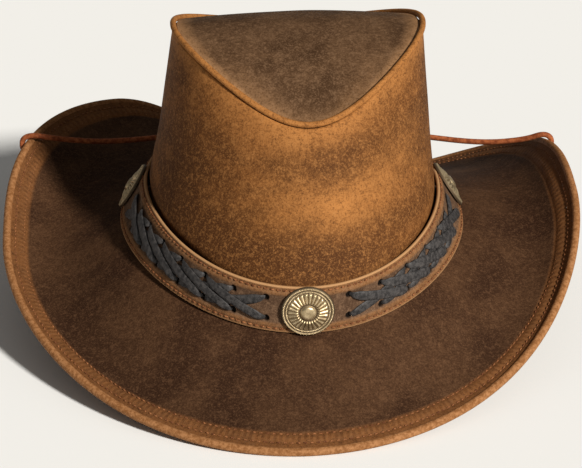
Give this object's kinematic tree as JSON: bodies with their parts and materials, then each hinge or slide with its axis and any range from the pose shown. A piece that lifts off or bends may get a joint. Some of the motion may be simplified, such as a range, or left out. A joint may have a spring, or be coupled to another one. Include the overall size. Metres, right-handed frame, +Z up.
{
  "type": "cowboy hat",
  "caption": "Worn brown leather cowboy hat with a wired, rolled brim, laced hatband with brass conchos and a chin cord stowed over the brim.",
  "frame": {"origin": "on the surface that the hat stands on, under the middle of its outline", "axes": "+Z up, the front of the hat faces -Y, +X is the wearer's left"},
  "size_m": [0.3146, 0.3494, 0.1687],
  "materials": {
    "crown_leather": "worn, mottled brown",
    "brim_leather": "worn, dark brown",
    "underside_leather": "matt brown flesh side",
    "worn_edge_leather": "rubbed tan edge",
    "hatband_leather": "worn tan and brown",
    "sweatband_leather": "smooth tan",
    "dark_lace": "dull black grey",
    "cord_leather": "reddish brown",
    "thread": "waxed thread",
    "antique_brass": "aged",
    "wire": "plain"
  },
  "bodies": {
    "hat": {"crown_wall": "crown_leather", "crown_tip": "crown_leather", "crown_welt": "worn_edge_leather", "crown_back_seam_strip": "crown_leather", "crown_back_stitches": "thread", "brim_upper": "brim_leather", "brim_lower": "underside_leather", "brim_edge_binding": "worn_edge_leather", "brim_wire": "wire", "brim_stitches_outer": "thread", "brim_stitches_inner": "thread", "sweatband": "sweatband_leather", "sweatband_stitches": "thread", "sweatband_reed": "sweatband_leather", "hatband_strap": "hatband_leather", "hatband_joining_patch": "hatband_leather", "hatband_stitches_bottom": "thread", "hatband_stitches_top": "thread", "lace_front_left": "dark_lace", "lace_front_right": "dark_lace", "lace_back": "dark_lace", "chin_cord": "cord_leather", "cord_tab_left": "cord_leather", "cord_tab_right": "cord_leather", "cord_knot_left": "cord_leather", "cord_knot_right": "cord_leather"},
    "concho_front": {"concho_front": "antique_brass", "concho_screw_front": "antique_brass"},
    "concho_left": {"concho_left": "antique_brass", "concho_screw_left": "antique_brass"},
    "concho_right": {"concho_right": "antique_brass", "concho_screw_right": "antique_brass"}
  },
  "joints": [
    {"name": "concho_front_turn", "type": "hinge", "parent": "hat", "child": "concho_front", "pos_m": [0, -0.11406, 0.05069], "axis": [0, -0.9996, -0.0279], "continuous": true},
    {"name": "concho_left_turn", "type": "hinge", "parent": "hat", "child": "concho_left", "pos_m": [0.08583, 0.00504, 0.0668], "axis": [0.8388, 0.0624, 0.5408], "continuous": true},
    {"name": "concho_right_turn", "type": "hinge", "parent": "hat", "child": "concho_right", "pos_m": [-0.08474, 0.01582, 0.06639], "axis": [-0.8391, 0.1386, 0.5261], "continuous": true}
  ]
}
